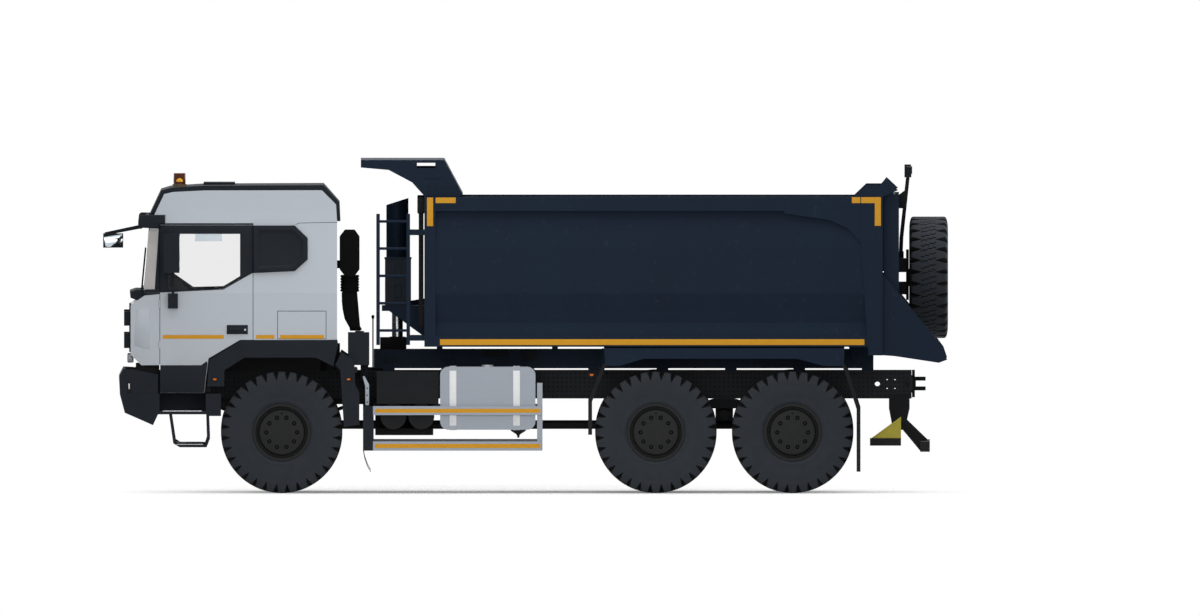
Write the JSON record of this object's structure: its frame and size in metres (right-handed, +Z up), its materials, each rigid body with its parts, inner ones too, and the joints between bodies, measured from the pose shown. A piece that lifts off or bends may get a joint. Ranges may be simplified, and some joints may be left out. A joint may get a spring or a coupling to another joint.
{
  "type": "dump truck",
  "caption": "Off-road cab-over dump truck with steered front axle, rear bogie, tilting cab, swinging doors, front telescopic hoist, tipping bed, top-hung tailgate and rear spare wheel.",
  "frame": {"origin": "on the floor under the middle of the bounding box", "axes": "+X to the tail, +Y to the truck's right side, +Z up"},
  "size_m": [8.648, 2.88, 3.409],
  "materials": {
    "tyre": "matte moulded rubber",
    "wheel_paint": "satin dark grey paint",
    "chassis_paint": "satin black paint",
    "engine_iron": "cast",
    "bed_paint": "satin navy paint",
    "hoist_steel": "ground rod",
    "dark_trim": "grained dark plastic",
    "cab_paint": "gloss light blue-grey paint",
    "glass": "clear",
    "interior": "grained",
    "lamp": "clear and amber lenses",
    "aluminium": "brushed"
  },
  "bodies": {
    "chassis": {"chassis_frame": "chassis_paint", "tipper_subframe": "bed_paint", "front_bumper": "dark_trim", "engine_block": "engine_iron", "fuel_tanks": "aluminium", "battery_box": "chassis_paint", "oil_tank": "aluminium", "side_guards": "aluminium", "underrun_guard": "chassis_paint", "axle_beams": "chassis_paint", "leaf_springs": "chassis_paint", "propshafts": "chassis_paint", "mudguards": "bed_paint", "chassis_lamps": "lamp"},
    "knuckle_left": {"knuckle_left": "chassis_paint"},
    "knuckle_right": {"knuckle_right": "chassis_paint"},
    "cab": {"cab_shell": "cab_paint", "cab_roof": "dark_trim", "cab_front": "cab_paint", "cab_glass": "glass", "cab_arches": "dark_trim", "sun_visor": "dark_trim", "cab_interior": "interior", "cab_lamps": "lamp", "air_intake": "dark_trim"},
    "door_left": {"door_left": "cab_paint", "door_glass_left": "glass", "door_mirror_left": "dark_trim"},
    "door_right": {"door_right": "cab_paint", "door_glass_right": "glass", "door_mirror_right": "dark_trim"},
    "bed": {"bed_floor": "bed_paint", "bed_side_left": "bed_paint", "bed_side_right": "bed_paint", "bed_front_wall": "bed_paint", "cab_guard": "bed_paint", "bed_ladder": "bed_paint", "extinguisher_box": "dark_trim"},
    "tailgate": {"tailgate": "bed_paint", "spare_rack": "chassis_paint", "spare_tyre": "tyre", "spare_wheel": "wheel_paint"},
    "davit": {"davit_boom": "chassis_paint"},
    "hoist_foot": {"hoist_foot": "hoist_steel"},
    "hoist_stage_1": {"hoist_stage_1": "hoist_steel"},
    "hoist_stage_2": {"hoist_stage_2": "hoist_steel"},
    "hoist_stage_3": {"hoist_stage_3": "hoist_steel"},
    "hoist_cover": {"hoist_cover": "bed_paint"},
    "wheel_front_left": {"tyre_front_left": "tyre", "wheel_front_left": "wheel_paint"},
    "wheel_front_right": {"tyre_front_right": "tyre", "wheel_front_right": "wheel_paint"},
    "wheel_middle_left": {"tyre_middle_left": "tyre", "wheel_middle_left": "wheel_paint"},
    "wheel_middle_right": {"tyre_middle_right": "tyre", "wheel_middle_right": "wheel_paint"},
    "wheel_rear_left": {"tyre_rear_left": "tyre", "wheel_rear_left": "wheel_paint"},
    "wheel_rear_right": {"tyre_rear_right": "tyre", "wheel_rear_right": "wheel_paint"}
  },
  "joints": [
    {"name": "cab_tilt", "type": "hinge", "parent": "chassis", "child": "cab", "pos_m": [-4.04, 0, 1.19], "axis": [0, -1, 0], "range_deg": [0, 55]},
    {"name": "door_left_swing", "type": "hinge", "parent": "cab", "child": "door_left", "pos_m": [-3.747, -1.235, 1.9], "axis": [0, 0, -1], "range_deg": [0, 70]},
    {"name": "door_right_swing", "type": "hinge", "parent": "cab", "child": "door_right", "pos_m": [-3.747, 1.235, 1.9], "axis": [0, 0, 1], "range_deg": [0, 70]},
    {"name": "steer_left", "type": "hinge", "parent": "chassis", "child": "knuckle_left", "pos_m": [-2.497, -0.87, 0.6225], "axis": [0, 0, 1], "range_deg": [-30, 30]},
    {"name": "steer_right", "type": "hinge", "parent": "chassis", "child": "knuckle_right", "pos_m": [-2.497, 0.87, 0.6225], "axis": [0, 0, 1], "range_deg": [-30, 30]},
    {"name": "bed_tip", "type": "hinge", "parent": "chassis", "child": "bed", "pos_m": [3.427, 0, 1.394], "axis": [0, 1, 0], "range_deg": [0, 50]},
    {"name": "tailgate_swing", "type": "hinge", "parent": "bed", "child": "tailgate", "pos_m": [3.668, 0, 3.103], "axis": [0, -1, 0], "range_deg": [0, 50]},
    {"name": "davit_swing", "type": "hinge", "parent": "tailgate", "child": "davit", "pos_m": [3.911, 0.32, 3.28], "axis": [0, 0, 1], "range_deg": [0, 90]},
    {"name": "hoist_lean", "type": "hinge", "parent": "chassis", "child": "hoist_foot", "pos_m": [-1.313, 0, 1.53], "axis": [0, 1, 0], "range_deg": [0, 28.6]},
    {"name": "spin_front_left", "type": "hinge", "parent": "knuckle_left", "child": "wheel_front_left", "pos_m": [-2.497, -1.03, 0.6225], "axis": [0, 1, 0], "continuous": true},
    {"name": "spin_front_right", "type": "hinge", "parent": "knuckle_right", "child": "wheel_front_right", "pos_m": [-2.497, 1.03, 0.6225], "axis": [0, 1, 0], "continuous": true},
    {"name": "spin_middle_left", "type": "hinge", "parent": "chassis", "child": "wheel_middle_left", "pos_m": [1.333, -1.03, 0.6225], "axis": [0, 1, 0], "continuous": true},
    {"name": "spin_middle_right", "type": "hinge", "parent": "chassis", "child": "wheel_middle_right", "pos_m": [1.333, 1.03, 0.6225], "axis": [0, 1, 0], "continuous": true},
    {"name": "spin_rear_left", "type": "hinge", "parent": "chassis", "child": "wheel_rear_left", "pos_m": [2.733, -1.03, 0.6225], "axis": [0, 1, 0], "continuous": true},
    {"name": "spin_rear_right", "type": "hinge", "parent": "chassis", "child": "wheel_rear_right", "pos_m": [2.733, 1.03, 0.6225], "axis": [0, 1, 0], "continuous": true},
    {"name": "hoist_slide_1", "type": "slide", "parent": "hoist_foot", "child": "hoist_stage_1", "axis": [0, 0, 1], "range_m": [0, 0.9965]},
    {"name": "hoist_slide_2", "type": "slide", "parent": "hoist_stage_1", "child": "hoist_stage_2", "axis": [0, 0, 1], "range_m": [0, 0.9965]},
    {"name": "hoist_slide_3", "type": "slide", "parent": "hoist_stage_2", "child": "hoist_stage_3", "axis": [0, 0, 1], "range_m": [0, 0.9965]},
    {"name": "hoist_slide_4", "type": "slide", "parent": "hoist_stage_3", "child": "hoist_cover", "axis": [0, 0, 1], "range_m": [0, 0.9965]}
  ],
  "couplings": [
    {"joint": "steer_right", "follows": "steer_left", "ratio": 1},
    {"joint": "tailgate_swing", "follows": "bed_tip", "ratio": 1},
    {"joint": "hoist_lean", "follows": "bed_tip", "ratio": 0.57},
    {"joint": "hoist_slide_1", "follows": "bed_tip", "m_per_rad": 1.1413},
    {"joint": "hoist_slide_2", "follows": "bed_tip", "m_per_rad": 1.1413},
    {"joint": "hoist_slide_3", "follows": "bed_tip", "m_per_rad": 1.1413},
    {"joint": "hoist_slide_4", "follows": "bed_tip", "m_per_rad": 1.1413}
  ]
}
